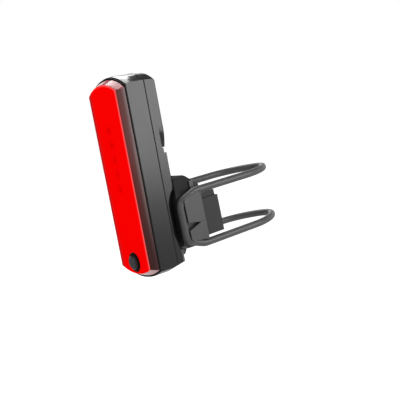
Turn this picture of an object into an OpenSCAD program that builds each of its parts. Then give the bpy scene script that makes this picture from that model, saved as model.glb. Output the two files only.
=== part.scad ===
// Slim bar rear light that slides onto a clip bracket, with a rubber ring that holds the
// bracket to a flat-backed seat post. Millimetres.
// Origin: centre of the saddle pad's face on the post. +Y runs from the light into the post,
// +Z is up, +X is to the right when looking at the post from behind the light.

/* [Light body] */
// Width of the housing
body_w = 27.1; // [26.4:0.1:32]
// Length of the housing over its arched ends
body_l = 82.9; // [80:0.1:96]
// Rise of the arched top end
top_rise = 4.4; // [3:0.1:5]
// Rise of the arched lower end
low_rise = 3.4; // [3:0.1:5]
// Rise of the crowned top over its front rim
crown = 0.8; // [0.4:0.1:1.2]
// Depth of the front housing, from the lens to the parting line
shell_d = 9.1; // [8.8:0.1:12]
// Depth of the rear cover, from the parting line to its back
cover_d = 5.05; // [4.8:0.05:7]
// Wall of the housing round the lens and of the cover's back
wall = 1.6; // [1.4:0.1:2]
// Height of the light's centre above the middle of the pad
light_z = 21.05; // [17:0.05:23]
// Width of the ledge that carries the lamp board
ledge_w = 1.1; // [0.9:0.1:1.6]
// Chamfer on the outer edges beside the parting line
edge_c = 0.25; // [0.1:0.05:0.4]
// Chamfer down the cover's rear corners, beside the bracket
flank_c = 4.4; // [3:0.1:4.6]
// How far the lower end draws in towards the back
tail_in = 1.4; // [1:0.1:3]

/* [Lens] */
// How far the lens stands out in front of the housing
lens_d = 3; // [2.4:0.1:4.5]
// Bevel along the lens sides, as an inset
lens_bevel = 2.05; // [1:0.05:2.4]
// Bevel across the lens ends, as an inset
lens_end_bevel = 1.6; // [0.8:0.1:2]
// Thickness of the lens front
lens_wall = 1.2; // [0.8:0.1:1.6]
// Step of the housing's rim round the lens ends
lens_step = 0.8; // [0.3:0.1:1.2]
// Thickness of the seal under the lens
seal_t = 0.6; // [0.4:0.1:1]

/* [Lamp] */
// Number of lamps behind the lens
led_n = 5; // [3:1:6]
// Distance between lamps
led_pitch = 6.1; // [5.8:0.1:7]
// Height of the middle lamp above the light's centre
led_rise = 8.7; // [6:0.1:10]
// Thickness of the diffuser
diffuser_t = 1.2; // [0.8:0.1:1.5]
// Thickness of both circuit boards
board_t = 1; // [0.8:0.1:1.2]

/* [Button] */
// Diameter of the button
button_d = 6.2; // [5:0.1:6.6]
// How far the button stands out of the lens
button_out = 1.4; // [1:0.1:2.2]
// Travel of the button
button_travel = 0.5; // [0.3:0.05:0.6]
// Outer diameter of the ring round the button
bezel_d = 8.2; // [7.4:0.1:8.4]
// Distance from the light's lower end to the button's centre
button_inset = 7.3; // [6.8:0.1:7.6]

/* [Battery] */
// Width of the cell
battery_w = 18; // [14:0.5:19]
// Length of the cell
battery_l = 30; // [22:0.5:31]
// Thickness of the cell
battery_t = 5; // [4.5:0.1:6]
// Outer diameter of each battery lead
lead_d = 0.9; // [0.7:0.05:1.1]

/* [Charging port] */
// Width of the port's metal shell
usb_w = 8.94; // [8.8:0.02:9.1]
// Height of the port's metal shell
usb_h = 3.26; // [3.1:0.02:3.4]
// Width of the rubber port cover
flap_w = 19; // [16:0.2:19.4]
// Height of the rubber port cover below its hinge
flap_h = 13.6; // [12:0.2:14.2]
// Thickness of the rubber port cover
flap_t = 1.2; // [1:0.1:1.5]
// Height of the port above the light's centre
port_rise = 16.2; // [15.6:0.2:17]

/* [Bracket] */
// Width of the seat post across its flat back
post_w = 23; // [22:0.5:27]
// Depth of the seat post from its flat back to its nose
post_d = 41; // [34:0.5:52]
// Lean of the post away from the light's own upright
post_lean = 1.75; // [0:0.25:2.5]
// Thickness of the rubber pad on the post
pad_t = 2.4; // [2:0.1:3]
// Thickness of the pad's cheeks beside the post
cheek_t = 2.7; // [2:0.1:3]
// How far the cheeks reach along the post's sides
cheek_l = 6.4; // [4:0.2:9]
// Depth of the bracket's core, from the pad to its front
core_d = 9.8; // [9.6:0.1:12]
// Width of the bracket's core
core_w = 21; // [19.6:0.2:21.4]
// Gap between the light's back and the bracket's front
rail_gap = 1.7; // [1.6:0.1:3]
// Width of the clip rail's head
rail_w = 14; // [12:0.2:14.6]
// Length of the clip rail
rail_l = 22; // [18:0.5:23]
// Height of the bracket's crest
crest_z = 18.6; // [17:0.2:20]

/* [Ring] */
// Diameter of the rubber ring's section
ring_d = 3.2; // [2.6:0.1:3.6]
// Distance between the ring's two strands
strand_gap = 22.6; // [22:0.2:25]
// Radius of the ring's bend at the front of each ear
ring_bend = 4.5; // [3.6:0.1:6]
// Length of the ring's slanted run over each ear
slope_l = 4.3; // [3:0.1:5]
// Radius of the ring's turn round the nose of the post
nose_r = 7; // [5:0.5:9]
// Slack between the ring and the nose of the post
nose_slack = 1.5; // [0.4:0.1:3]

/* [Hidden] */
$fn = 96;

// Gaps: between bodies that slide, beside parts that are glued or dropped in, and for pins
slide_gap = 0.15;
seat_gap = 0.1;
pin_gap = 0.05;
// Past a surface, so that a cut leaves no skin
over = 1;

// Planes square to Y, from the back of the light forward
bracket_y = -(pad_t + core_d);
rear_y = bracket_y - rail_gap;
split_y = rear_y - cover_d;
rim_y = split_y - shell_d;
face_y = rim_y - lens_d;
floor_y = rear_y - wall;

// The arched ends are parts of circles, to a hundredth
top_r = arch_r(top_rise);
low_r = arch_r(low_rise);
arch_room = 2 * max(top_rise, low_rise);
low_z = light_z - body_l / 2;

// Planes inside, from the lens back
lens_floor_y = face_y + lens_wall;
diffuser_y = lens_floor_y + 0.2;
frame_y = diffuser_y + diffuser_t;
frame_t = 3;
lamp_board_y = frame_y + frame_t;
ledge_y = lamp_board_y + board_t;
board_gap = 1.2;
main_board_y = ledge_y + board_gap;
main_back_y = main_board_y + board_t;

// Insets of the outline, at the sides
lens_dx = 0.1;
skirt_dx = wall + seat_gap;
skirt_t = 1;
inside_dx = skirt_dx + skirt_t;
frame_dx = inside_dx + 0.15;
ledge_dx = wall + ledge_w;
cover_dx = ledge_dx + 1.2;
// Insets of the outline, at the ends
inside_dz = inside_dx + 0.3;
frame_dz = inside_dz + 0.15;
ledge_dz = ledge_dx + 0.7;
cover_dz = cover_dx + 0.3;

// Button
button_z = low_z + button_inset;
bezel_hole_d = bezel_d + 2 * pin_gap;
stem_d = 3;
cap_l = button_out + 2;
plunger_d = 2;
switch_w = 4;
switch_t = 1.6;
plunger_y = lamp_board_y - switch_t - button_travel - 0.4;

// Lower end, drawn in towards the back
tail_y = split_y - cover_d / 2;
tail_slope = tail_in / (rear_y - tail_y);

// Cover screws, whose bosses run into the side walls
screw_boss_d = 5.6;
screw_x = body_w / 2 - ledge_dx - screw_boss_d / 2 + 0.25;
screw_dz = body_l / 2 - 7.1;
screw_d = 2;
screw_head_d = 3.6;
screw_head_t = 1.4;
screw_sink = 0.5;
screw_l = 7;
screw_seat_y = rear_y - screw_sink - screw_head_t;

// Charging port
port_z = light_z + port_rise;
port_in = 0.3;
hinge_z = port_z + 8;
flap_x = -8;
flap_bead_r = flap_t / 2;
hinge_y = rear_y - flap_bead_r;
recess_low_z = hinge_z - flap_h - 0.3;
plug_l = 1.6;
plug_gap = 0.5;
anchor_w = 9;
anchor_h = 3;
anchor_z = hinge_z + flap_bead_r + 0.1;
anchor_peg_d = 1.6;
port_wall_w = 21.6;
port_wall_t = 1.9;
port_wall_y = rear_y - flap_t - 0.05 - port_wall_t;
usb_y = rear_y - flap_t - plug_l - 0.3;

// Scoop beside the port cover, and the small chamfer down the rear corners below it
scoop_d = 2.4;
scoop_r = 24.5;
scoop_low_z = recess_low_z - 0.1;
scoop_z = scoop_low_z + 9.3;
nail_in = 2.65;
nail_h = 1.8;
corner_c = 1;

// Main board
main_low_z = light_z + 5.4;
main_top_z = light_z + body_l / 2 - ledge_dz - 8.5;
main_w = body_w - 2 * (ledge_dx + 1.15);
main_screw_x = main_w / 2 - 2.1;
main_screw_dz = 3;
board_screw_d = 1.6;
board_screw_l = 3.6;
board_head_d = 2.8;
board_head_t = 1;
board_boss_d = 3.6;

// Battery
battery_y = ledge_y + 0.3;
battery_back_y = battery_y + battery_t;
battery_top_z = main_low_z - 1.4;
battery_z = battery_top_z - battery_l;
lead_x = 3;
lead_bend = 1.2;
lead_y = main_back_y + lead_bend + 0.8;

// Clip rail and its slot
lip_t = 1.8;
rail_neck_w = rail_w - 6;
rail_head_t = 2;
rail_z = -8;
notch_z = -3;
notch_r = 0.9;
slot_y = bracket_y + lip_t;
slot_t = rail_head_t + 2 * slide_gap;

// Spring tongue of the bracket
tongue_w = 7;
tongue_t = 1.6;
tongue_y = slot_y + slot_t + 0.45;
tongue_z = 8;
tongue_slit = 0.5;
tongue_room = 2.2;
tab_z = -15.6;
core_low_z = -12;

// Pad, ears and ring, in the post's own upright
ring_r = ring_d / 2;
ring_x = post_w / 2 + ring_r + 0.3;
ring_y = bracket_y - 0.4;
ring_z = strand_gap / 2;
ring_lift = 0.2;
far_bend = 8;
// Directions of the slanted run and of the joint at the nose, as cosine and sine
run = [0.936, 0.352];
turn = [0.6, 0.8];
bend_y = ring_y + ring_bend;
run_y = bend_y - ring_bend * run[1];
run_z = ring_z - far_bend * (1 - run[0]) - slope_l * run[1];
bend_z = run_z - ring_bend * run[0];
far_y = run_y + slope_l * run[0] + far_bend * run[1];
side_r = (ring_x - turn[0] * nose_r) / (1 - turn[0]);
nose_mid_y = post_d + nose_slack + ring_r - nose_r;
side_y = nose_mid_y - turn[1] * (side_r - nose_r);
ear_h = ring_z - ring_r;
ear_y = ring_y + ring_r;
ear_bend = ring_bend - ring_r;
ear_lip_w = 0.5;
ear_lip_t = 0.5;
ear_x = ring_x + ring_r + 0.05 + ear_lip_t;
plate_t = 2;
cheek_x = post_w / 2 + 0.2;
cheek_top_z = 7.4;
cheek_low_z = -8.2;
band_top_z = ear_h + ring_lift - 0.2;
pad_top_z = 13.6;
pad_slope = 2;
pad_low_z = -12.6;
pad_w = post_w - 0.6;
peg_x = 7.6;
peg_d = 3;
peg_l = 2.4;

// Radius of an arch over the light's width with the given rise
function arch_r(rise) = round(100 * (pow(body_w / 2, 2) + pow(rise, 2)) / (2 * rise)) / 100;

// The light's outline, drawn in by dx at the sides and dz at the ends
module outline(dx = 0, dz = 0) {
    intersection() {
        square([body_w - 2 * dx, body_l - 2 * dz], center = true);
        union() {
            translate([0, body_l / 2 - top_r])
                circle(top_r - dz, $fn = 180);
            translate([0, low_r - body_l / 2])
                circle(low_r - dz, $fn = 180);
            square([body_w, body_l - 2 * arch_room], center = true);
        }
    }
}

// A block of that outline between the planes y0 and y1
module slab(y0, y1, dx = 0, dz = 0) {
    translate([0, y1, light_z])
        rotate([90, 0, 0])
            linear_extrude(y1 - y0)
                outline(dx, dz);
}

// A block whose outline changes evenly from the plane y0 to the plane y1; its top rises by up
module taper(y0, y1, dx0, dz0, dx1, dz1, up0 = 0, up1 = 0) {
    intersection() {
        translate([0, 0, light_z])
            linear_extrude(body_l + 4 * crown, center = true)
                polygon([[dx0 - body_w / 2, y0], [body_w / 2 - dx0, y0],
                    [body_w / 2 - dx1, y1], [dx1 - body_w / 2, y1]]);
        union() {
            translate([0, y0, light_z + body_l / 2 - top_r])
                rotate([-90, 0, 0])
                    cylinder(h = y1 - y0, r1 = top_r + up0 - dz0, r2 = top_r + up1 - dz1, $fn = 180);
            translate([0, y0, low_z + low_r])
                rotate([-90, 0, 0])
                    cylinder(h = y1 - y0, r1 = low_r - dz0, r2 = low_r - dz1, $fn = 180);
            translate([-body_w / 2, y0, low_z + arch_room])
                cube([body_w, y1 - y0, body_l - 2 * arch_room]);
        }
    }
}

// A closed loop of the outline between two insets
module loop(y0, y1, dx0, dz0, dx1, dz1) {
    difference() {
        slab(y0, y1, dx0, dz0);
        slab(y0 - over, y1 + over, dx1, dz1);
    }
}

// A cylinder along +Y from y0 to y1
module bar(x, z, y0, y1, d) {
    translate([x, y0, z])
        rotate([-90, 0, 0])
            cylinder(h = y1 - y0, d = d);
}

// A rectangle with round corners
module round_rect(w, h, r) {
    square([w - 2 * r, h], center = true);
    square([w, h - 2 * r], center = true);
    for (x = [r - w / 2, w / 2 - r], z = [r - h / 2, h / 2 - r])
        translate([x, z])
            circle(r, $fn = 32);
}

// A round-cornered plate centred on x and z, between y0 and y1
module plate(x, z, y0, y1, w, h, r) {
    translate([x, y1, z])
        rotate([90, 0, 0])
            linear_extrude(y1 - y0)
                round_rect(w, h, r);
}

// Places its children at the four cover screws
module at_cover_screws() {
    for (sx = [-1, 1], sz = [-1, 1])
        translate([sx * screw_x, 0, light_z + sz * screw_dz])
            children();
}

// Places its children at the two screws of the main board
module at_board_screws() {
    translate([main_screw_x, 0, main_low_z + main_screw_dz])
        children();
    translate([-main_screw_x, 0, main_top_z - main_screw_dz])
        children();
}

// What the lower end loses towards the back
module tail_cut() {
    depth = rear_y - tail_y + over;
    back_r = low_r - tail_slope * depth;
    centre_z = low_z + low_r;
    top_z = centre_z - sqrt(pow(back_r, 2) - pow(body_w / 2, 2));
    difference() {
        translate([-body_w, tail_y, low_z - over])
            cube([2 * body_w, depth, top_z - low_z + over]);
        translate([0, tail_y, centre_z])
            rotate([-90, 0, 0])
                cylinder(h = depth, r1 = low_r, r2 = back_r, $fn = 180);
    }
}

// What a rear corner loses, in the corner's own frame: a small chamfer that widens beside the
// bracket
module flank_cut() {
    full = flank_c / sqrt(2);
    small = corner_c / sqrt(2);
    rotate([90, 0, 0])
        linear_extrude(4 * flank_c, center = true)
            polygon([[-0.5 * full, low_z - over], [-0.5 * full, low_z + 8.2], [-0.7 * full, low_z + 10.9],
                [-0.8 * full, low_z + 13.5], [-full, low_z + 16.4], [-full, crest_z - 10.6],
                [-0.82 * full, crest_z - 8], [-0.6 * full, crest_z - 6], [-small - 0.3, crest_z - 4.6],
                [-small, crest_z - 2.6], [-small, scoop_low_z - nail_h + 0.2],
                [flank_c, scoop_low_z - nail_h + 0.2], [flank_c, low_z - over]]);
}

// The finger scoop in the right rear corner: a ramp that deepens downwards, with a nail slot at
// its foot that opens under the port cover
module scoop_cut() {
    translate([0, rear_y + over, 0])
        rotate([90, 0, 0])
            linear_extrude(scoop_d + over)
                difference() {
                    translate([body_w / 2 - nail_in - over, scoop_low_z])
                        square([nail_in + 3 * over, scoop_z - scoop_low_z]);
                    translate([body_w / 2 - scoop_r, scoop_z])
                        circle(scoop_r, $fn = 180);
                }
    translate([body_w / 2 - nail_in, rear_y - scoop_d, scoop_low_z - nail_h])
        cube([nail_in + over, scoop_d + over, nail_h + 0.3]);
}

// Moves its children into a rear corner: its first axis points out of the corner
module at_corner() {
    translate([body_w / 2, rear_y, 0])
        rotate([0, 0, 45])
            children();
}

// The room that the button's ring needs, open at the light's lower end
module bezel_room(y0, y1, grow) {
    d = bezel_hole_d + 2 * grow;
    bar(0, button_z, y0, y1, d);
    translate([-d / 2, y0, button_z - button_inset])
        cube([d, y1 - y0, button_inset]);
}

module lens() {
    color([0.62, 0.2, 0.22, 0.6])
    difference() {
        union() {
            taper(face_y, rim_y, lens_dx + lens_bevel, lens_step + lens_end_bevel, lens_dx, lens_step);
            slab(rim_y, lamp_board_y, skirt_dx, skirt_dx);
        }
        slab(lens_floor_y, lamp_board_y + over, inside_dx, inside_dz);
        bar(0, button_z, face_y - over, lamp_board_y + over, bezel_hole_d);
    }
}

module lens_seal() {
    color([0.05, 0.05, 0.05])
    loop(rim_y, rim_y + seal_t, edge_c, edge_c, wall, wall);
}

module diffuser() {
    color([1, 0, 0])
    difference() {
        slab(diffuser_y, frame_y, frame_dx, frame_dz);
        bezel_room(diffuser_y - over, frame_y + over, 0);
    }
}

// White frame with a cup round each lamp and shallow ribbed wells above and below them
module lamp_frame() {
    cup_front_r = led_pitch / 2 - 0.15;
    cup_back_r = 2.1;
    well_w = body_w - 2 * frame_dx - 3;
    well_h = 4.6;
    well_d = 2;
    led_top = led_rise + (led_n - 1) / 2 * led_pitch + cup_front_r + 1;
    led_low = led_rise - (led_n - 1) / 2 * led_pitch - cup_front_r - 1;
    top_room = body_l / 2 - frame_dz - top_rise - led_top;
    low_room = led_low - (button_inset + bezel_d / 2 + 1 - body_l / 2);
    color([0.93, 0.93, 0.9])
    difference() {
        slab(frame_y, lamp_board_y, frame_dx, frame_dz);
        bezel_room(frame_y - over, lamp_board_y + over, 0);
        for (i = [0 : led_n - 1])
            translate([0, frame_y, light_z + led_rise + (i - (led_n - 1) / 2) * led_pitch])
                rotate([-90, 0, 0])
                    cylinder(h = frame_t + 0.01, r1 = cup_front_r, r2 = cup_back_r);
        for (i = [0 : floor(top_room / (well_h + 1)) - 1])
            translate([-well_w / 2, frame_y - over, light_z + led_top + i * (well_h + 1)])
                cube([well_w, well_d + over, well_h]);
        for (i = [1 : floor(low_room / (well_h + 1))])
            translate([-well_w / 2, frame_y - over, light_z + led_low - i * (well_h + 1)])
                cube([well_w, well_d + over, well_h]);
    }
}

module lamp_board() {
    color([0.9, 0.92, 0.9])
    slab(lamp_board_y, ledge_y, wall + 0.15, wall + 0.15);
}

module lamps() {
    led_w = 2.8;
    led_t = 0.8;
    color([0.98, 0.85, 0.6])
    for (i = [0 : led_n - 1])
        translate([0, lamp_board_y, light_z + led_rise + (i - (led_n - 1) / 2) * led_pitch])
            difference() {
                translate([-led_w / 2, -led_t, -led_w / 2])
                    cube([led_w, led_t, led_w]);
                rotate([90, 0, 0])
                    translate([0, 0, led_t - 0.3])
                        cylinder(h = over, r1 = 0.9, r2 = 1.5);
            }
}

module front_housing() {
    // The crowned top rises soonest behind the rim
    crown_y = [rim_y + seal_t + edge_c, rim_y + 2, rim_y + 4, split_y - edge_c];
    crown_up = [0.15 * crown, 0.6 * crown, 0.85 * crown, crown];
    color([0.24, 0.24, 0.25])
    difference() {
        union() {
            taper(rim_y + seal_t, crown_y[0], edge_c, edge_c, 0, 0, 0, crown_up[0]);
            for (i = [0 : len(crown_y) - 2])
                taper(crown_y[i], crown_y[i + 1], 0, 0, 0, 0, crown_up[i], crown_up[i + 1]);
            taper(split_y - edge_c, split_y, 0, 0, edge_c, edge_c, crown, crown);
        }
        tail_cut();
        // Room for the lens skirt and the lamp board
        slab(rim_y, ledge_y, wall, wall);
        // Room behind the ledge, less the screw bosses
        difference() {
            slab(ledge_y - over, split_y + over, ledge_dx, ledge_dz);
            at_cover_screws()
                bar(0, 0, ledge_y, split_y + over, screw_boss_d);
        }
        at_cover_screws()
            bar(0, 0, screw_seat_y - screw_l - 0.3, split_y + over, screw_d + 2 * pin_gap);
        seal_groove();
    }
}

// Groove for the housing seal, in the housing's rear face
module seal_groove() {
    loop(split_y - 0.7, split_y + over, wall - 0.4, ledge_dz - 1.5, wall + 0.4, ledge_dz - 0.7);
}

module housing_seal() {
    color([0.1, 0.1, 0.1])
    loop(split_y - 0.7, split_y, wall - 0.4 + pin_gap, ledge_dz - 1.5 + pin_gap,
        wall + 0.4 - pin_gap, ledge_dz - 0.7 - pin_gap);
}

module rear_cover() {
    rear_edge = 0.5;
    color([0.22, 0.22, 0.23])
    difference() {
        union() {
            difference() {
                union() {
                    taper(split_y, split_y + edge_c, edge_c, edge_c, 0, 0, crown, crown);
                    taper(split_y + edge_c, rear_y - rear_edge, 0, 0, 0, 0, crown, 0.8 * crown);
                    taper(rear_y - rear_edge, rear_y, 0, 0, 0.1, rear_edge, 0.8 * crown, 0.8 * crown);
                }
                tail_cut();
                slab(split_y - over, floor_y, cover_dx, cover_dz);
                at_corner()
                    flank_cut();
                mirror([1, 0, 0])
                    at_corner()
                        flank_cut();
            }
            // Thicker wall round the charging port
            translate([-port_wall_w / 2, port_wall_y, recess_low_z - 0.7])
                cube([port_wall_w, rear_y - flap_t - port_wall_y,
                    anchor_z + anchor_h + 1.7 - recess_low_z]);
            at_cover_screws()
                bar(0, 0, split_y, rear_y - over, screw_boss_d);
            at_board_screws()
                bar(0, 0, main_back_y, rear_y - over, board_boss_d);
            clip_rail();
        }
        scoop_cut();
        flap_recess();
        plate(0, port_z, main_back_y, rear_y + over, usb_w + 0.6 + 2 * plug_gap,
            usb_h + 0.6 + 2 * plug_gap, 2);
        for (s = [-1, 1])
            bar(s * anchor_w / 3, anchor_z + anchor_h / 2, port_wall_y - over, rear_y + over,
                anchor_peg_d + 2 * pin_gap);
        at_cover_screws() {
            bar(0, 0, split_y - over, rear_y + over, screw_d + 0.3);
            bar(0, 0, screw_seat_y, rear_y + over, screw_head_d + 0.2);
        }
        at_board_screws()
            bar(0, 0, main_back_y - over, main_back_y + board_screw_l + 0.6,
                board_screw_d + 2 * pin_gap);
    }
}

// T-shaped rail on the back of the cover, with chamfered lower corners and a notch
module clip_rail() {
    head_y = slot_y + slide_gap;
    half = rail_w / 2;
    lead = 1.2;
    translate([-rail_neck_w / 2, rear_y - 0.5, rail_z + seat_gap])
        cube([rail_neck_w, head_y - rear_y + 1, rail_l]);
    difference() {
        translate([0, head_y + rail_head_t, rail_z + seat_gap])
            rotate([90, 0, 0])
                linear_extrude(rail_head_t)
                    polygon([[lead - half, 0], [half - lead, 0], [half, lead], [half, rail_l],
                        [-half, rail_l], [-half, lead]]);
        translate([-half - over, head_y + rail_head_t + 0.3, notch_z])
            rotate([0, 90, 0])
                cylinder(h = rail_w + 2 * over, r = notch_r, $fn = 48);
    }
}

// Recess that the rubber cover and its anchor lie in
module flap_recess() {
    top_z = anchor_z + anchor_h + 0.1;
    depth = flap_t + 0.05;
    translate([0, rear_y - depth, 0]) {
        translate([flap_x - 0.25, 0, recess_low_z])
            cube([flap_w + 0.5, depth + over, hinge_z + flap_bead_r + 0.1 - recess_low_z]);
        translate([-anchor_w / 2 - 0.1, 0, hinge_z])
            cube([anchor_w + 0.2, depth + over, top_z - hinge_z]);
    }
}

module cover_screws() {
    color([0.55, 0.55, 0.57])
    at_cover_screws()
        difference() {
            union() {
                bar(0, 0, screw_seat_y - screw_l, screw_seat_y + 0.01, screw_d);
                bar(0, 0, screw_seat_y, screw_seat_y + screw_head_t, screw_head_d);
            }
            cross_recess(screw_seat_y + screw_head_t, 2.2);
        }
}

// Cross recess in a screw head that faces +Y
module cross_recess(y, w) {
    for (a = [0, 90])
        translate([0, y, 0])
            rotate([0, a, 0])
                cube([w, 1.4, 0.5], center = true);
}

module board_screws() {
    color([0.7, 0.7, 0.72])
    at_board_screws()
        difference() {
            union() {
                bar(0, 0, main_board_y - 0.01, main_back_y + board_screw_l, board_screw_d);
                bar(0, 0, main_board_y - board_head_t, main_board_y, board_head_d);
            }
            cross_recess(main_board_y - board_head_t, 1.7);
        }
}

module main_board() {
    mid_z = (main_low_z + main_top_z) / 2;
    color([0.1, 0.35, 0.2])
    difference() {
        plate(0, mid_z, main_board_y, main_back_y, main_w, main_top_z - main_low_z, 1);
        at_board_screws()
            bar(0, 0, main_board_y - over, main_back_y + over, board_screw_d + 2 * pin_gap);
    }
}

// Chips, coil and small parts on the back of the main board: place and size as shares of the
// board's width and height, then the height of the part
module board_parts() {
    main_h = main_top_z - main_low_z;
    parts = [[-0.32, 0.22, 0.2, 0.165, 0.9], [0.37, 0.43, 0.155, 0.124, 0.8],
        [0.33, 0.685, 0.165, 0.132, 1.8], [0.01, 0.85, 0.155, 0.066, 1.2],
        [-0.34, 0.455, 0.1, 0.05, 0.8], [-0.41, 0.595, 0.062, 0.083, 0.8],
        [0.39, 0.885, 0.062, 0.083, 0.8]];
    color([0.12, 0.12, 0.13])
    for (p = parts)
        translate([(p[0] - p[2] / 2) * main_w, main_back_y, main_low_z + (p[1] - p[3] / 2) * main_h])
            cube([p[2] * main_w, p[4], p[3] * main_h]);
}

// Small plug and socket that join the two boards
module board_link() {
    color([0.85, 0.82, 0.72])
    translate([-4, ledge_y, main_top_z - 7])
        cube([8, board_gap, 2.6]);
}

module usb_shell() {
    color([0.75, 0.76, 0.78])
    difference() {
        plate(0, port_z, main_back_y, usb_y, usb_w, usb_h, usb_h / 2 - 0.01);
        plate(0, port_z, main_back_y + 0.8, usb_y + over, usb_w - 2 * port_in,
            usb_h - 2 * port_in, usb_h / 2 - port_in - 0.01);
    }
}

module usb_tongue() {
    color([0.12, 0.12, 0.13])
    plate(0, port_z, main_back_y + 0.8, usb_y - 0.6, 6.6, 0.7, 0.2);
}

// Rubber cover that swings on the bead along its top
module usb_cover() {
    right_x = flap_x + flap_w;
    mid_x = (flap_x + right_x) / 2;
    color([0.13, 0.13, 0.13])
    difference() {
        union() {
            plate(mid_x, hinge_z - flap_h / 2 - 0.4, rear_y - flap_t, rear_y, flap_w, flap_h - 0.8, 1.6);
            translate([-anchor_w / 2, rear_y - flap_t, hinge_z - 2])
                cube([anchor_w, flap_t, 2]);
            translate([-anchor_w / 2, hinge_y, hinge_z])
                rotate([0, 90, 0])
                    cylinder(h = anchor_w, r = flap_bead_r, $fn = 32);
            plate(0, port_z, rear_y - flap_t - plug_l, rear_y - flap_t + 0.1, usb_w + 0.6,
                usb_h + 0.6, 1.6);
        }
        // Pull grooves by the scoop
        for (i = [0 : 2])
            translate([right_x - 1.4 - i * 1.2, rear_y - 0.3, port_z - 3])
                cube([0.6, over, 6]);
    }
}

// Rubber anchor of the cover, held by two pegs
module usb_cover_anchor() {
    mid_z = anchor_z + anchor_h / 2;
    peg_end_y = port_wall_y - 0.6;
    color([0.13, 0.13, 0.13])
    union() {
        translate([-anchor_w / 2, rear_y - flap_t, anchor_z + pin_gap])
            cube([anchor_w, flap_t, anchor_h - 2 * pin_gap]);
        for (s = [-1, 1]) {
            bar(s * anchor_w / 3, mid_z, peg_end_y, rear_y - flap_t + 0.1, anchor_peg_d);
            bar(s * anchor_w / 3, mid_z, peg_end_y, port_wall_y - pin_gap, anchor_peg_d + 0.7);
        }
    }
}

// Flat pouch cell with a narrow shelf for its protection board
module battery() {
    shelf_h = 2.4;
    shelf_in = 0.6;
    mid_y = (battery_y + battery_back_y) / 2;
    color([0.75, 0.76, 0.78])
    union() {
        translate([0, mid_y, battery_z])
            linear_extrude(battery_l - shelf_h)
                round_rect(battery_w, battery_t, 1.2);
        translate([shelf_in - battery_w / 2, battery_y + shelf_in, battery_top_z - shelf_h - 0.1])
            cube([battery_w - 2 * shelf_in, battery_t - 2 * shelf_in, shelf_h + 0.1]);
    }
}

module battery_pad() {
    foam_w = 0.78 * battery_w;
    foam_l = 0.6 * battery_l;
    color([0.2, 0.2, 0.22])
    translate([-foam_w / 2, battery_back_y, battery_z + (battery_l - foam_l) / 3])
        cube([foam_w, floor_y - battery_back_y, foam_l]);
}

// One lead from the top of the cell, bent over onto the back of the main board
module lead(x) {
    bend_z = main_low_z + 1.2;
    translate([x, lead_y, battery_top_z])
        cylinder(h = bend_z - battery_top_z, d = lead_d, $fn = 24);
    translate([x, lead_y - lead_bend, bend_z])
        rotate([90, 0, 90])
            rotate_extrude(angle = 90, $fn = 48)
                translate([lead_bend, 0])
                    circle(d = lead_d, $fn = 24);
    bar(x, bend_z + lead_bend, main_back_y, lead_y - lead_bend, lead_d);
}

module lead_plus() {
    color([0.8, 0.1, 0.1])
    lead(lead_x);
}

module lead_minus() {
    color([0.08, 0.08, 0.08])
    lead(-lead_x);
}

module switch_body() {
    color([0.2, 0.2, 0.22])
    difference() {
        translate([-switch_w / 2, lamp_board_y - switch_t, button_z - switch_w / 2])
            cube([switch_w, switch_t, switch_w]);
        bar(0, button_z, lamp_board_y - switch_t - over, lamp_board_y - 0.1, plunger_d + 2 * pin_gap);
    }
}

module switch_plunger() {
    color([0.85, 0.82, 0.75])
    bar(0, button_z, plunger_y, lamp_board_y - 0.3 - button_travel, plunger_d);
}

// Domed cap on a stem that presses the switch
module power_button() {
    cap_bevel = 0.5;
    front_y = face_y - button_out;
    color([0.07, 0.07, 0.07])
    union() {
        translate([0, front_y, button_z])
            rotate([-90, 0, 0])
                cylinder(h = cap_bevel, d1 = button_d - 2 * cap_bevel, d2 = button_d);
        bar(0, button_z, front_y + cap_bevel, front_y + cap_l, button_d);
        bar(0, button_z, front_y + cap_l - 0.1, plunger_y, stem_d);
    }
}

// Black ring in the lens that guides the button
module button_bezel() {
    color([0.05, 0.05, 0.05])
    difference() {
        bar(0, button_z, face_y - 0.2, lamp_board_y, bezel_d);
        bar(0, button_z, face_y - over, lamp_board_y + over, button_d + 0.2);
    }
}

// The core's side view: a rounded front, a short crest, then a slope down to the post
module core_profile() {
    steps = 8;
    round_y = 3.6;
    round_z = 2.7;
    fall = 0.8;
    shoulder_y = bracket_y + 6.5;
    end_y = -pad_t - plate_t / 2;
    polygon(concat(
        [[end_y, core_low_z], [bracket_y + 1.2, core_low_z], [bracket_y, core_low_z + 1.2]],
        [for (i = [0 : steps])
            let (a = 90 * i / steps)
            [bracket_y + round_y * (1 - cos(a)), crest_z - round_z * (1 - sin(a))]],
        [[shoulder_y - 2.3, crest_z], [shoulder_y - 1.2, crest_z - 0.2],
            [shoulder_y, crest_z - 0.8], [end_y, crest_z - 0.8 - fall * (end_y - shoulder_y)]]));
}

// Extrudes a side view in Y and Z, w wide and centred on X
module side_block(w) {
    rotate([90, 0, 90])
        linear_extrude(w, center = true)
            children();
}

// Side view of the ear's block, which fills the ring's front end
module ear_face() {
    for (m = [0, 1])
        mirror([0, m]) {
            polygon([[-pad_t, -over], [ear_y, -over], [ear_y, bend_z], [bend_y, bend_z],
                [bend_y - ear_bend * run[1], bend_z + ear_bend * run[0]],
                [far_y - (far_bend - ring_r) * run[1], ring_z - far_bend + (far_bend - ring_r) * run[0]],
                [far_y, ear_h], [-pad_t, ear_h]]);
            translate([bend_y, bend_z])
                circle(ear_bend, $fn = 96);
        }
}

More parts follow.
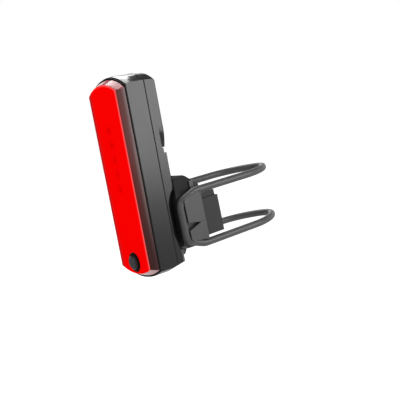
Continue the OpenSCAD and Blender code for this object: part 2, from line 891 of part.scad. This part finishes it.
// Side view of the ear's outer lip, which hides part of the ring's upper corner
module ear_lip() {
    top = ring_z + ring_lift - 0.3;
    low = ring_lift + 2.2 - ring_z;
    polygon([[ear_y - ear_lip_w, low + 1.4], [ear_y - ear_lip_w, top - 2.4], [ear_y, top - 1.8],
        [-pad_t - 2.3, top], [-pad_t - 0.5, top - 0.5], [-pad_t - 0.5, low + 1.7],
        [-pad_t - 3.3, low], [ear_y + 0.4, low + 0.4]]);
}

// One ear: a block that the ring bends over, with a low lip, a dark pocket and a fine ledge
module ear() {
    in_x = core_w / 2 - over;
    pocket_d = 2.6;
    pocket_low_z = -3.7;
    ledge_t = 0.35;
    difference() {
        union() {
            translate([in_x, 0, ring_lift])
                rotate([90, 0, 90])
                    linear_extrude(ear_x - ear_lip_t - in_x)
                        ear_face();
            translate([ear_x - ear_lip_t, 0, 0])
                rotate([90, 0, 90])
                    linear_extrude(ear_lip_t)
                        ear_lip();
        }
        translate([ear_x - pocket_d, 0, 0])
            rotate([90, 0, 90])
                linear_extrude(pocket_d + over)
                    polygon([[ear_y - over, pocket_low_z + 3.4], [-pad_t - 2.8, pocket_low_z + 2.2],
                        [ear_y, pocket_low_z], [ear_y - over, pocket_low_z]]);
        translate([ear_x - ledge_t, -pad_t - 3.4, pocket_low_z + 2.1])
            cube([over, 4, ledge_t]);
    }
}

// Turns its children into the post's own upright
module leaning() {
    rotate([post_lean, 0, 0])
        children();
}

module bracket() {
    back_y = -pad_t - plate_t;
    color([0.3, 0.3, 0.31])
    union() {
        difference() {
            union() {
                side_block(core_w)
                    core_profile();
                leaning() {
                    translate([-pad_w / 2, back_y, pad_low_z])
                        cube([pad_w, plate_t, pad_top_z + pad_slope - pad_low_z]);
                    ear();
                    mirror([1, 0, 0])
                        ear();
                }
            }
            slot_room();
            leaning()
                for (s = [-1, 1])
                    bar(s * peg_x, 0, -pad_t - peg_l - 0.3, -pad_t + over, peg_d + 2 * pin_gap);
        }
        spring_tongue();
    }
}

// Slot for the rail, open at the top, and the room round the spring tongue
module slot_room() {
    top = 2 * crest_z;
    mouth_w = rail_neck_w + 2 * slide_gap;
    slit_w = tongue_w + 2 * tongue_slit;
    room_y = tongue_y + tongue_t;
    translate([-mouth_w / 2, bracket_y - over, rail_z])
        cube([mouth_w, lip_t + 2 * over, top]);
    translate([-rail_w / 2 - slide_gap, slot_y, rail_z])
        cube([rail_w + 2 * slide_gap, slot_t, top]);
    translate([-slit_w / 2, bracket_y - over, -top])
        cube([slit_w, room_y + tongue_room - bracket_y + over, top + rail_z + 0.01]);
    translate([-slit_w / 2, slot_y, -top])
        cube([slit_w, room_y + tongue_room - slot_y, top + tongue_z]);
}

// Moulded tongue: its bump snaps into the rail, and its tab shows below the core
module spring_tongue() {
    tab_y = bracket_y + 0.8;
    back_y = tongue_y + tongue_t;
    side_block(tongue_w)
        polygon([[tongue_y, tongue_z + over], [tongue_y, tab_z + 3.4], [tab_y, tab_z + 2.2],
            [tab_y, tab_z + 1], [tab_y + 1, tab_z], [tongue_y - 0.4, tab_z],
            [back_y, tab_z + 3.6], [back_y, tongue_z + over]]);
    translate([-tongue_w / 2, tongue_y + 0.4, notch_z])
        rotate([0, 90, 0])
            cylinder(h = tongue_w, r = notch_r - slide_gap, $fn = 32);
}

// Rubber pad: a ribbed face on the post, and cheeks that hug its sides
module saddle_pad() {
    out_x = cheek_x + cheek_t;
    rib_d = 0.5;
    rib_pitch = 3;
    color([0.16, 0.16, 0.16])
    leaning()
    difference() {
        union() {
            side_block(pad_w)
                polygon([[-pad_t, pad_low_z], [0, pad_low_z], [0, pad_top_z],
                    [-pad_t, pad_top_z + pad_slope]]);
            translate([-out_x, -pad_t, cheek_low_z])
                cube([2 * out_x, pad_t + cheek_l, cheek_top_z - cheek_low_z]);
            translate([-out_x + 0.9, -pad_t, cheek_low_z])
                cube([2 * out_x - 1.8, pad_t + cheek_l - 0.8, band_top_z - cheek_low_z]);
            for (s = [-1, 1])
                bar(s * peg_x, 0, -pad_t - peg_l, -pad_t + 0.1, peg_d);
        }
        translate([-cheek_x, 0, -2 * pad_top_z])
            cube([2 * cheek_x, cheek_l + over, 4 * pad_top_z]);
        for (i = [-4 : 3])
            translate([-pad_w / 2 - over, -rib_d, (i + 0.5) * rib_pitch - 0.5])
                cube([pad_w + 2 * over, over, 1]);
        // Tapered front edge of each cheek
        for (s = [0, 1])
            mirror([s, 0, 0])
                translate([out_x, cheek_l, 0])
                    rotate([0, 0, 12])
                        translate([0, -2, -pad_top_z])
                            cube([2, 4, 2 * pad_top_z]);
    }
}

// A bend of the ring: the sector of a torus between two directions
module bend(r, from, to) {
    reach = 4 * r;
    intersection() {
        rotate_extrude()
            translate([r, 0])
                circle(ring_r, $fn = 48);
        linear_extrude(3 * ring_r, center = true)
            polygon([[0, 0], reach * from, reach * (from + to), reach * to]);
    }
}

// One closed rubber ring: over each ear, back along the post and round its narrow nose
module post_ring() {
    color([0.12, 0.12, 0.12])
    leaning()
    translate([0, 0, ring_lift])
    union() {
        for (sx = [-1, 1])
            translate([sx * ring_x, 0, 0]) {
                translate([0, ring_y, -bend_z])
                    cylinder(h = 2 * bend_z, r = ring_r, $fn = 48);
                for (m = [0, 1])
                    mirror([0, 0, m]) {
                        translate([0, bend_y, bend_z])
                            rotate([90, 0, 90])
                                bend(ring_bend, [-1, 0], [-run[1], run[0]]);
                        translate([0, run_y, run_z])
                            rotate([atan2(run[1], run[0]) - 90, 0, 0])
                                cylinder(h = slope_l, r = ring_r, $fn = 48);
                        translate([0, far_y, ring_z - far_bend])
                            rotate([90, 0, 90])
                                bend(far_bend, [-run[1], run[0]], [0, 1]);
                        bar(0, ring_z, far_y, side_y, ring_d, $fn = 48);
                    }
            }
        for (s = [-1, 1])
            translate([0, 0, s * ring_z]) {
                for (m = [0, 1])
                    mirror([m, 0, 0])
                        translate([ring_x - side_r, side_y, 0])
                            bend(side_r, [1, 0], turn);
                translate([0, nose_mid_y, 0])
                    bend(nose_r, turn, [-turn[0], turn[1]]);
            }
    }
}

lens();
lens_seal();
diffuser();
lamp_frame();
lamp_board();
lamps();
front_housing();
housing_seal();
rear_cover();
cover_screws();
main_board();
board_parts();
board_link();
board_screws();
usb_shell();
usb_tongue();
usb_cover();
usb_cover_anchor();
battery();
battery_pad();
lead_plus();
lead_minus();
switch_body();
switch_plunger();
power_button();
button_bezel();
bracket();
saddle_pad();
post_ring();
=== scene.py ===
"""Looks of a slim bar rear light on its clip bracket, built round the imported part.
Metres, in the part's own frame: +Y runs from the lens to the bracket, +Z is up."""

import math

import bmesh
import bpy
from mathutils import Matrix, Vector


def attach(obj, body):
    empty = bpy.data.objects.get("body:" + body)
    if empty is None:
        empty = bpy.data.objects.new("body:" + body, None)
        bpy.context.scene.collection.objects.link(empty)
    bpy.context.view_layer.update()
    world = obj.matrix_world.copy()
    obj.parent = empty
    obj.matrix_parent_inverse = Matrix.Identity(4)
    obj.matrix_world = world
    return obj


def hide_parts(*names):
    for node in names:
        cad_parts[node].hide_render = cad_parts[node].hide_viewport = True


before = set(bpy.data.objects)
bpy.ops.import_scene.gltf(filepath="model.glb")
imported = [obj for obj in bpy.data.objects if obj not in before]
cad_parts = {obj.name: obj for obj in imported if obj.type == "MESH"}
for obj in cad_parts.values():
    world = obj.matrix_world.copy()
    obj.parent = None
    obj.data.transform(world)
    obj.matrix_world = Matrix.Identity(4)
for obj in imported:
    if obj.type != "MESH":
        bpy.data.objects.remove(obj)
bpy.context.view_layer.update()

MM = 0.001
WHITE = (1.0, 1.0, 1.0)

# The lamps behind the lens: heights of their centres
LIGHT_Z = 21.05 * MM
LAMP_RISE = 8.7 * MM
LAMP_PITCH = 6.1 * MM
LAMP_COUNT = 5
LAMP_Z = [LIGHT_Z + LAMP_RISE + (i - LAMP_COUNT // 2) * LAMP_PITCH
          for i in range(LAMP_COUNT)]

# The lens: plane of its front, and the arch of that front's top end
LENS_Y = -31.05 * MM
LENS_ARC_Z = 39.44 * MM
LENS_ARC_R = 20.66 * MM

# The lens's bevels, a red tint with painted light: how deep their colour goes on changing,
# and over which heights it turns lighter as painted light
BEVEL_LIGHT_DEPTH = 3.0 * MM
BEVEL_LIGHT_HEIGHT = (-16 * MM, 34 * MM)

# Bands on the lens's front, from nothing to full: distances left and right of its middle for
# a painted shade band on the left and a pink painted highlight on the right, width of the
# pink painted highlight inside the arch, and the heights and places where that highlight sets
# in
SHADE_BAND_LEFT = (7.6 * MM, 11.4 * MM)
HIGHLIGHT_RIGHT = (9.9 * MM, 11.2 * MM)
HIGHLIGHT_TOP = 1.1 * MM
HIGHLIGHT_TOP_Z = (50 * MM, 56 * MM)
HIGHLIGHT_TOP_X = (-8 * MM, 4 * MM)

# A lamp's dark spot: from full to nothing, and how far its rim wanders
LAMP_SPOT = (0.3 * MM, 2.3 * MM)
SPOT_WANDER = 1.8 * MM

# The painted shade on the bracket's core: distance from the middle where it ends, and height
# where it sets in
CORE_SHADE_SIDE = (10.45 * MM, 10.8 * MM)
CORE_SHADE_FOOT = (9 * MM, 12 * MM)

# How far a surface has to face one way to count as facing it, from not at all to fully
FACES_FRONT = (0.82, 0.95)
FACES_UP = (0.78, 0.94)
LEANS = (0.25, 0.6)

# Moulded surfaces
CLOUD_SIZE = 9 * MM
ROUGH_SPREAD = 0.08
RUBBED_EDGE = 0.25 * MM

# The camera that sees what the photo shows: degrees, millimetres and focal length
CAMERA_AZIMUTH, CAMERA_ELEVATION, CAMERA_ROLL = 55.0, 7.64, 10.29
CAMERA_PLACE = (237.8, -159.6, 43.6)
CAMERA_SENSOR, CAMERA_LENS = 36.0, 59.615

# The studio: where its ceiling starts in a reflection, the floor, and the lamps' shared aim
CEILING_FROM = (0.2, 0.5)
FLOOR_Z = -200 * MM
FLOOR_SIZE = 6.0
FLOOR_GLOW, FLOOR_GLOW_MIRRORED = 0.8, 0.05
LIGHT_TOP = (0.0, -0.02, 0.06)

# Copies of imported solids: welding distance, angles in degrees, cuts across a rounded edge
WELD = 0.002 * MM
SAME_PLANE, KEEP_SHARP = 0.4, 32.0
EDGE_CUTS = 3


# Shader maths

class Socket:
    """An output of a node in a finish. Arithmetic on it adds Math nodes."""

    def __init__(self, finish, link):
        self.finish, self.link = finish, link

    def maths(self, operation, *values, **settings):
        return self.finish.node("ShaderNodeMath", {"operation": operation, **settings},
                                dict(enumerate(values)))

    def __add__(self, other):
        return self.maths("ADD", self, other)

    def __sub__(self, other):
        return self.maths("SUBTRACT", self, other)

    def __rsub__(self, other):
        return self.maths("SUBTRACT", other, self)

    def __mul__(self, other):
        return self.maths("MULTIPLY", self, other)

    def __truediv__(self, other):
        return self.maths("DIVIDE", self, other)

    def __pow__(self, other):
        return self.maths("POWER", self, other)

    def __neg__(self):
        return self * -1

    def __abs__(self):
        return self.maths("ABSOLUTE", self)

    __radd__, __rmul__ = __add__, __mul__

    def clamped(self):
        return self.maths("ADD", self, 0.0, use_clamp=True)

    def ramp(self, low, high):
        """0 below low, 1 above high, smooth between."""
        return self.finish.node("ShaderNodeMapRange", {"interpolation_type": "SMOOTHSTEP"},
                                {"Value": self, "From Min": low, "From Max": high})


class Finish:
    """A procedural material: a Principled shader and the nodes that feed it."""

    def __init__(self, name, **constants):
        self.material = bpy.data.materials.new(name)
        self.material.use_nodes = True
        self.nodes = self.material.node_tree.nodes
        self.links = self.material.node_tree.links
        self.shader = self.nodes["Principled BSDF"]
        for socket, value in constants.items():
            self.feed(self.shader.inputs[socket.replace("_", " ")], value)

    def feed(self, socket, value):
        if isinstance(value, Socket):
            self.links.new(value.link, socket)
        elif isinstance(value, (tuple, list)) and socket.type == "RGBA" and len(value) == 3:
            socket.default_value = (*value, 1.0)
        else:
            socket.default_value = value

    def node(self, kind, settings=None, sockets=None, out=0):
        """Adds a node: its settings first, then the values or links of its sockets."""
        node = self.nodes.new(kind)
        for name, value in (settings or {}).items():
            setattr(node, name, value)
        for name, value in (sockets or {}).items():
            self.feed(node.inputs[name], value)
        return Socket(self, node.outputs[out])

    def set(self, **inputs):
        """Feeds the shader's sockets, with _ for a space in their names."""
        for name, value in inputs.items():
            self.feed(self.shader.inputs[name.replace("_", " ")], value)
        return self

    def place(self):
        """Where the point is on the piece, in metres."""
        return self.node("ShaderNodeTexCoord", out="Object")

    def axis(self, index):
        """One coordinate of that place."""
        return self.node("ShaderNodeSeparateXYZ", sockets={0: self.place()}, out=index)

    def facing(self, index):
        """One part of the surface's normal, in the part's frame."""
        normal = self.node("ShaderNodeTexCoord", out="Normal")
        return self.node("ShaderNodeSeparateXYZ", sockets={0: normal}, out=index)

    def noise(self, size, detail=2.0, stretch=(1, 1, 1)):
        """Noise whose lumps are about size metres across."""
        at = self.place()
        if stretch != (1, 1, 1):
            at = self.node("ShaderNodeVectorMath", {"operation": "MULTIPLY"},
                           {0: at, 1: stretch})
        return self.node("ShaderNodeTexNoise", sockets={
            "Vector": at, "Scale": 1 / size, "Detail": detail, "Roughness": 0.55})

    def mix(self, low, high, factor):
        """From colour low to colour high."""
        return self.node("ShaderNodeMix", {"data_type": "RGBA", "clamp_factor": True},
                         {0: factor, 6: low, 7: high}, out=2)

    def relief(self, height, depth, strength=1.0):
        """A Bump node whose full height is depth metres."""
        return self.node("ShaderNodeBump", sockets={
            "Height": height, "Distance": depth, "Strength": strength})

    def cover(self, share, constants, inputs):
        """A second Principled shader that hides the first one where share is 1."""
        over = self.node("ShaderNodeBsdfPrincipled", sockets={**constants, **inputs})
        under = Socket(self, self.shader.outputs[0])
        both = self.node("ShaderNodeMixShader", sockets={0: share, 1: under, 2: over})
        self.links.new(both.link, self.nodes["Material Output"].inputs["Surface"])
        return self

    def edges(self, radius):
        """1 where the surface turns sharply within radius, 0 on flat faces."""
        soft = self.node("ShaderNodeBevel", {"samples": 4}, {"Radius": radius})
        sharp = self.node("ShaderNodeNewGeometry", out="Normal")
        same = self.node("ShaderNodeVectorMath", {"operation": "DOT_PRODUCT"},
                         {0: soft, 1: sharp}, out="Value")
        return (1 - same).ramp(0.01, 0.12)


def grey(value):
    return (value, value, value)


def scaled(colour, factor):
    return tuple(min(1.0, c * factor) for c in colour)


def moulded(name, colour, roughness, grain, depth, wear=0.0, place=None, **constants):
    """Moulded plastic or rubber: a fine grain, faint clouds and rubbed edges.
    place gives a share for each point, and the roughness and the painted shade where it is 1."""
    f = Finish(name, **constants)
    cloud = f.noise(CLOUD_SIZE, 4)
    speck = f.noise(grain, 2)
    base = f.mix(scaled(colour, 0.86), scaled(colour, 1.16), cloud)
    rough = (cloud - 0.5) * ROUGH_SPREAD + (speck - 0.5) * ROUGH_SPREAD + roughness
    if wear:
        rub = f.edges(RUBBED_EDGE) * f.noise(1.6 * MM, 3).ramp(0.38, 0.62) * wear
        base = f.mix(base, scaled(colour, 2.4), rub)
        rough = rough - rub * 0.12
    # Painted shade: the colour turns darker where the share is 1
    if place:
        share, there, shade = place(f)
        rough = rough + share * (there - roughness)
        base = f.mix(base, scaled(colour, shade), share)
    return f.set(Base_Color=base, Roughness=rough.clamped(),
                 Normal=f.relief(speck, depth)).material


def polished_top_painted_shade(f):
    """The housing's crowned end: smoother than its sides, and darker as painted shade."""
    return f.facing(2).ramp(*FACES_UP), 0.1, 0.5


def matt_core_painted_shade(f):
    """The bracket's core: more matt than its ears, and darker as painted shade from the seat
    post beside it.
    """
    inside = 1 - abs(f.axis(0)).ramp(*CORE_SHADE_SIDE)
    return inside * f.axis(2).ramp(*CORE_SHADE_FOOT), 0.85, 0.23


def lens_finish():
    """An opaque stand-in for tinted acrylic: a lit red front with dark lamp spots, a painted
    shade band at its left edge and painted highlights at its right edge and top, and
    red-tinted bevels with painted light seen through them, lighter towards the top, and
    painted reflections where they lean up or down. Its colours follow the place on the lens
    and the way its surface faces."""
    f = Finish("lens_acrylic", IOR=1.49, Specular_IOR_Level=0.3)
    x, y, z = f.axis(0), f.axis(1), f.axis(2)
    ripple = f.noise(3.2 * MM, 1)
    streak = f.noise(1.1 * MM, 2, stretch=(1, 1, 0.04))
    # Red tint of the bevels with painted light: from dark red-brown at the front to light
    # mauve towards the housing, as light seen through clear acrylic, with faint streaks
    depth = ((y - LENS_Y) / BEVEL_LIGHT_DEPTH + (streak - 0.5) * 0.3).clamped()
    # Lighter towards the top: painted light
    high = z.ramp(*BEVEL_LIGHT_HEIGHT)
    inner = f.mix((0.065, 0.007, 0.006), (0.17, 0.017, 0.014), high)
    middle = f.mix((0.045, 0.016, 0.014), (0.135, 0.047, 0.044), high)
    outer = f.mix((0.075, 0.026, 0.028), (0.27, 0.19, 0.19), high)
    tint_and_painted_light = f.mix(f.mix(inner, middle, depth.ramp(0.0, 0.5)), outer, depth.ramp(0.5, 1.0))
    # Bevels leaning up or down turn lighter: painted reflections of the bright surroundings
    tint_and_painted_light = f.mix(tint_and_painted_light, (0.42, 0.12, 0.13), f.facing(2).ramp(*LEANS))
    tint_and_painted_light = f.mix(tint_and_painted_light, (0.62, 0.36, 0.36), (-f.facing(2)).ramp(*LEANS))
    f.set(Base_Color=tint_and_painted_light, Roughness=(ripple - 0.5) * 0.04 + 0.1,
          Normal=f.relief(ripple, 0.01 * MM, 0.3))

    red = f.mix((0.93, 0.0, 0.0), (1.0, 0.0, 0.0), f.noise(14 * MM, 2))
    # A darker band at the left edge: painted shade
    red = f.mix(red, (0.45, 0.012, 0.014), (-x).ramp(*SHADE_BAND_LEFT))
    # Pink at the right edge and along the arch's top right: painted highlight, which glows
    # with the front
    out = (x * x + (z - LENS_ARC_Z) ** 2) ** 0.5
    arc = out.ramp(LENS_ARC_R - HIGHLIGHT_TOP, LENS_ARC_R) * z.ramp(*HIGHLIGHT_TOP_Z)
    side = x.ramp(*HIGHLIGHT_RIGHT)
    red = f.mix(red, (1.0, 0.11, 0.11), (arc * x.ramp(*HIGHLIGHT_TOP_X) + side).clamped())
    spots = None
    for height in LAMP_Z:
        away = (x * x + (z - height) ** 2) ** 0.5
        spot = 1 - (away + (ripple - 0.5) * SPOT_WANDER).ramp(*LAMP_SPOT)
        spots = spot if spots is None else spots + spot
    red = f.mix(red, (0.5, 0.0, 0.0), spots * 0.6)
    front = (-f.facing(1)).ramp(*FACES_FRONT)
    return f.cover(front, {"Roughness": 0.3, "IOR": 1.03, "Specular IOR Level": 0.2,
                           "Emission Strength": 0.3},
                   {"Base Color": red, "Emission Color": red}).material


def metal(name, colour, roughness, turned=0.25):
    """Bare metal with fine tool lines and a little tarnish."""
    f = Finish(name, Metallic=1.0)
    lines = f.noise(0.12 * MM, 2, stretch=(1, 0.15, 1))
    stain = f.noise(1.5 * MM, 4)
    return f.set(Base_Color=f.mix(scaled(colour, 0.72), colour, stain.ramp(0.3, 0.6)),
                 Roughness=((stain - 0.5) * 0.2 + roughness).clamped(),
                 Normal=f.relief(lines, 0.01 * MM, turned)).material


def board_finish(name, mask, copper):
    """Circuit board: solder mask over copper tracks, on a square grid."""
    f = Finish(name, IOR=1.5)
    at = f.place()
    tracks = f.node("ShaderNodeTexBrick", {"offset": 0.5, "squash": 1.0},
                    {"Vector": f.node("ShaderNodeVectorMath", {"operation": "MULTIPLY"},
                                      {0: at, 1: (1, 0, 1)}),
                     "Scale": 420.0, "Mortar Size": 0.09, "Color1": WHITE, "Color2": WHITE,
                     "Mortar": (0.0, 0.0, 0.0)}, out="Fac")
    weave = f.noise(0.3 * MM, 2)
    plain = f.mix(mask, scaled(mask, 0.8), weave)
    return f.set(Base_Color=f.mix(plain, copper, tracks * 0.35),
                 Roughness=(weave - 0.5) * 0.1 + 0.34,
                 Normal=f.relief(tracks, 0.03 * MM, 0.5)).material


# Camera, light and floor

def set_camera():
    azimuth, elevation, roll = (math.radians(angle) for angle in (
        CAMERA_AZIMUTH, CAMERA_ELEVATION, CAMERA_ROLL))
    back = Vector((math.sin(azimuth) * math.cos(elevation),
                   -math.cos(azimuth) * math.cos(elevation), math.sin(elevation)))
    right = Vector((math.cos(azimuth), math.sin(azimuth), 0.0))
    turn = Matrix((right, back.cross(right), back)).transposed().to_4x4()
    data = bpy.data.cameras.new("camera")
    data.sensor_width, data.lens = CAMERA_SENSOR, CAMERA_LENS
    data.clip_start, data.clip_end = 0.005, 20.0
    camera = bpy.data.objects.new("camera", data)
    bpy.context.scene.collection.objects.link(camera)
    place = Matrix.Translation(Vector(CAMERA_PLACE) * MM)
    camera.matrix_world = place @ turn @ Matrix.Rotation(-roll, 4, "Z")
    bpy.context.scene.camera = camera


def add_node(tree, kind, inputs, **settings):
    """A node of the world's or the floor's tree, as its first output."""
    node = tree.nodes.new(kind)
    for name, value in settings.items():
        setattr(node, name, value)
    for name, value in inputs.items():
        if isinstance(value, bpy.types.NodeSocket):
            tree.links.new(value, node.inputs[name])
        else:
            node.inputs[name].default_value = value
    return node.outputs[0]


def ray_kind(tree, *names):
    """1 for rays of the kinds named, 0 for the others."""
    path = tree.nodes.new("ShaderNodeLightPath")
    total = 0.0
    for name in names:
        total = add_node(tree, "ShaderNodeMath", {0: total, 1: path.outputs[name]},
                         operation="ADD", use_clamp=True)
    return total


def set_world(ambient, ceiling):
    """White behind the object, a plain ambient light, and a dimmer ceiling in reflections."""
    world = bpy.data.worlds.new("studio")
    bpy.context.scene.world = world
    world.use_nodes = True
    tree = world.node_tree
    way = tree.nodes.new("ShaderNodeTexCoord").outputs["Generated"]
    split = tree.nodes.new("ShaderNodeSeparateXYZ")
    tree.links.new(way, split.inputs[0])
    mirrored = add_node(tree, "ShaderNodeMapRange",
                        {"Value": split.outputs["Z"], "From Min": CEILING_FROM[0],
                         "From Max": CEILING_FROM[1], "To Min": 1.0, "To Max": ceiling},
                        interpolation_type="SMOOTHSTEP")
    level = add_node(tree, "ShaderNodeMapRange",
                     {"Value": ray_kind(tree, "Is Glossy Ray", "Is Transmission Ray"),
                      "To Min": ambient, "To Max": mirrored})
    level = add_node(tree, "ShaderNodeMapRange",
                     {"Value": ray_kind(tree, "Is Camera Ray"), "To Min": level,
                      "To Max": 1.0})
    shade = tree.nodes["Background"]
    shade.inputs["Color"].default_value = (*WHITE, 1.0)
    tree.links.new(level, shade.inputs["Strength"])


def softbox(name, place, aim, width, height, glow):
    """A rectangular lamp whose face shows as glow times white."""
    data = bpy.data.lights.new(name, "AREA")
    data.shape, data.size, data.size_y = "RECTANGLE", width, height
    data.energy = glow * math.pi * width * height
    lamp = bpy.data.objects.new(name, data)
    lamp.visible_camera = False
    bpy.context.scene.collection.objects.link(lamp)
    lamp.location = Vector(place)
    lamp.rotation_mode = "QUATERNION"
    lamp.rotation_quaternion = (Vector(aim) - Vector(place)).to_track_quat("-Z", "Y")


def set_floor(height):
    """A pale floor that glows: strongly for the camera, faintly in reflections."""
    bpy.ops.mesh.primitive_grid_add(x_subdivisions=8, y_subdivisions=8, size=FLOOR_SIZE,
                                    location=(0.0, 0.0, height))
    floor = bpy.context.object
    floor.name = "studio_floor"
    material = bpy.data.materials.new("studio_floor")
    material.use_nodes = True
    tree = material.node_tree
    plain = tree.nodes["Principled BSDF"]
    plain.inputs["Base Color"].default_value = (0.8, 0.8, 0.8, 1.0)
    plain.inputs["Roughness"].default_value = 0.9
    plain.inputs["Emission Color"].default_value = (*WHITE, 1.0)
    mirrored = add_node(tree, "ShaderNodeMath", {
        0: ray_kind(tree, "Is Glossy Ray", "Is Transmission Ray"),
        1: FLOOR_GLOW_MIRRORED}, operation="MULTIPLY")
    glow = add_node(tree, "ShaderNodeMath", {
        0: ray_kind(tree, "Is Camera Ray"), 1: FLOOR_GLOW, 2: mirrored},
        operation="MULTIPLY_ADD")
    tree.links.new(glow, plain.inputs["Emission Strength"])
    floor.data.materials.append(material)


# Pieces

def rounded(name, node, body, material, edge, turn=28.0):
    """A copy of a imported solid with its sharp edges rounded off, which stands for it."""
    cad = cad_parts[node]
    work = bmesh.new()
    work.from_mesh(cad.data)
    bmesh.ops.remove_doubles(work, verts=work.verts, dist=WELD)
    bmesh.ops.dissolve_limit(work, angle_limit=math.radians(SAME_PLANE), verts=work.verts,
                             edges=work.edges)
    if edge:
        sharp = [e for e in work.edges
                 if len(e.link_faces) == 2 and e.calc_face_angle(0.0) > math.radians(turn)]
        bmesh.ops.bevel(work, geom=sharp, offset=edge, offset_type="OFFSET",
                        segments=EDGE_CUTS, profile=0.5, affect="EDGES", clamp_overlap=True)
    mesh = bpy.data.meshes.new(name)
    work.to_mesh(mesh)
    work.free()
    mesh.shade_smooth()
    mesh.set_sharp_from_angle(angle=math.radians(KEEP_SHARP))
    piece = bpy.data.objects.new(name, mesh)
    bpy.context.scene.collection.objects.link(piece)
    flatten = piece.modifiers.new("flat_faces", "WEIGHTED_NORMAL")
    flatten.keep_sharp = True
    mesh.materials.append(material)
    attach(piece, body)
    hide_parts(node)


def dress(node, material):
    """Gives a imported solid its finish."""
    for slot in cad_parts[node].material_slots:
        slot.material = material


set_camera()
set_world(ambient=0.45, ceiling=0.12)
set_floor(FLOOR_Z)
softbox("key_right", (0.42, 0.26, 0.142), (0.0, -0.02, 0.142), 0.3, 0.35, 4.2)
softbox("fill_front", (0.1, -0.45, 0.36), (0.0, -0.02, 0.02), 0.3, 0.3, 2.5)
softbox("side_back", (-0.56, 0.31, 0.21), (0.0, 0.0, 0.08), 0.32, 0.38, 0.9)
softbox("top_back", (-0.423, 0.224, 0.442), LIGHT_TOP, 0.14, 0.18, 4.6)
softbox("top_left", (-0.2, 0.07, 0.45), LIGHT_TOP, 0.2, 0.32, 6.0)

housing = moulded("housing_plastic", grey(0.01), 0.25, 0.14 * MM, 0.003 * MM, wear=0.5,
                  place=polished_top_painted_shade)
nylon = moulded("bracket_nylon", grey(0.06), 0.42, 0.2 * MM, 0.01 * MM, wear=0.25,
                place=matt_core_painted_shade)
rubber = moulded("black_rubber", grey(0.022), 0.55, 0.18 * MM, 0.01 * MM,
                 Specular_IOR_Level=0.38)
seal_rubber = moulded("seal_rubber", grey(0.004), 0.6, 0.18 * MM, 0.004 * MM,
                      Specular_IOR_Level=0.05)
ring_rubber = moulded("ring_rubber", grey(0.07), 0.4, 0.25 * MM, 0.008 * MM)
button_rubber = moulded("button_rubber", grey(0.014), 0.42, 0.16 * MM, 0.008 * MM,
                        Specular_IOR_Level=0.35)
white_plastic = moulded("white_reflector", (0.82, 0.82, 0.8), 0.35, 0.2 * MM, 0.004 * MM)
foam = moulded("grey_foam", grey(0.09), 0.85, 0.35 * MM, 0.12 * MM)
ivory = moulded("ivory_nylon", (0.72, 0.68, 0.55), 0.4, 0.2 * MM, 0.004 * MM)
chip = moulded("chip_epoxy", grey(0.03), 0.45, 0.1 * MM, 0.004 * MM)
red_lead = moulded("red_lead", (0.55, 0.02, 0.02), 0.4, 0.2 * MM, 0.004 * MM)
black_lead = moulded("black_lead", grey(0.03), 0.4, 0.2 * MM, 0.004 * MM)
phosphor = moulded("lamp_phosphor", (0.85, 0.7, 0.35), 0.35, 0.1 * MM, 0.004 * MM)
diffuser_red = moulded("red_diffuser", (0.7, 0.01, 0.01), 0.4, 0.2 * MM, 0.004 * MM)
steel = metal("plated_steel", (0.62, 0.62, 0.63), 0.3)
foil = metal("cell_foil", (0.72, 0.73, 0.75), 0.42, 0.6)
green_board = board_finish("green_board", (0.02, 0.16, 0.06), (0.05, 0.3, 0.1))
white_board = board_finish("white_board", (0.8, 0.82, 0.8), (0.6, 0.62, 0.6))

rounded("lens_shell", "lens", "light", lens_finish(), 0.3 * MM, turn=18)
rounded("front_shell", "front_housing", "light", housing, 0.12 * MM)
rounded("rear_shell", "rear_cover", "light", housing, 0.12 * MM)
rounded("bracket_body", "bracket", "bracket", nylon, 0.25 * MM)
rounded("pad_rubber", "saddle_pad", "bracket", rubber, 0.2 * MM)
rounded("ring_rubber", "post_ring", "bracket", ring_rubber, 0)
rounded("button_cap", "power_button", "button", button_rubber, 0.2 * MM)
rounded("button_ring", "button_bezel", "light", seal_rubber, 0.12 * MM)
rounded("port_flap", "usb_cover", "port_cover", rubber, 0.12 * MM)
rounded("flap_anchor", "usb_cover_anchor", "light", rubber, 0.12 * MM)

for node, material in {
        "lens_seal": seal_rubber, "housing_seal": seal_rubber, "diffuser": diffuser_red,
        "lamp_frame": white_plastic, "lamp_board": white_board, "lamps": phosphor,
        "cover_screws": steel, "board_screws": steel, "main_board": green_board,
        "board_parts": chip, "board_link": ivory, "usb_shell": steel, "usb_tongue": chip,
        "battery": foil, "battery_pad": foam, "lead_plus": red_lead, "lead_minus": black_lead,
        "switch_body": chip, "switch_plunger": ivory}.items():
    dress(node, material)

scene = bpy.context.scene
scene.view_settings.view_transform = "Standard"
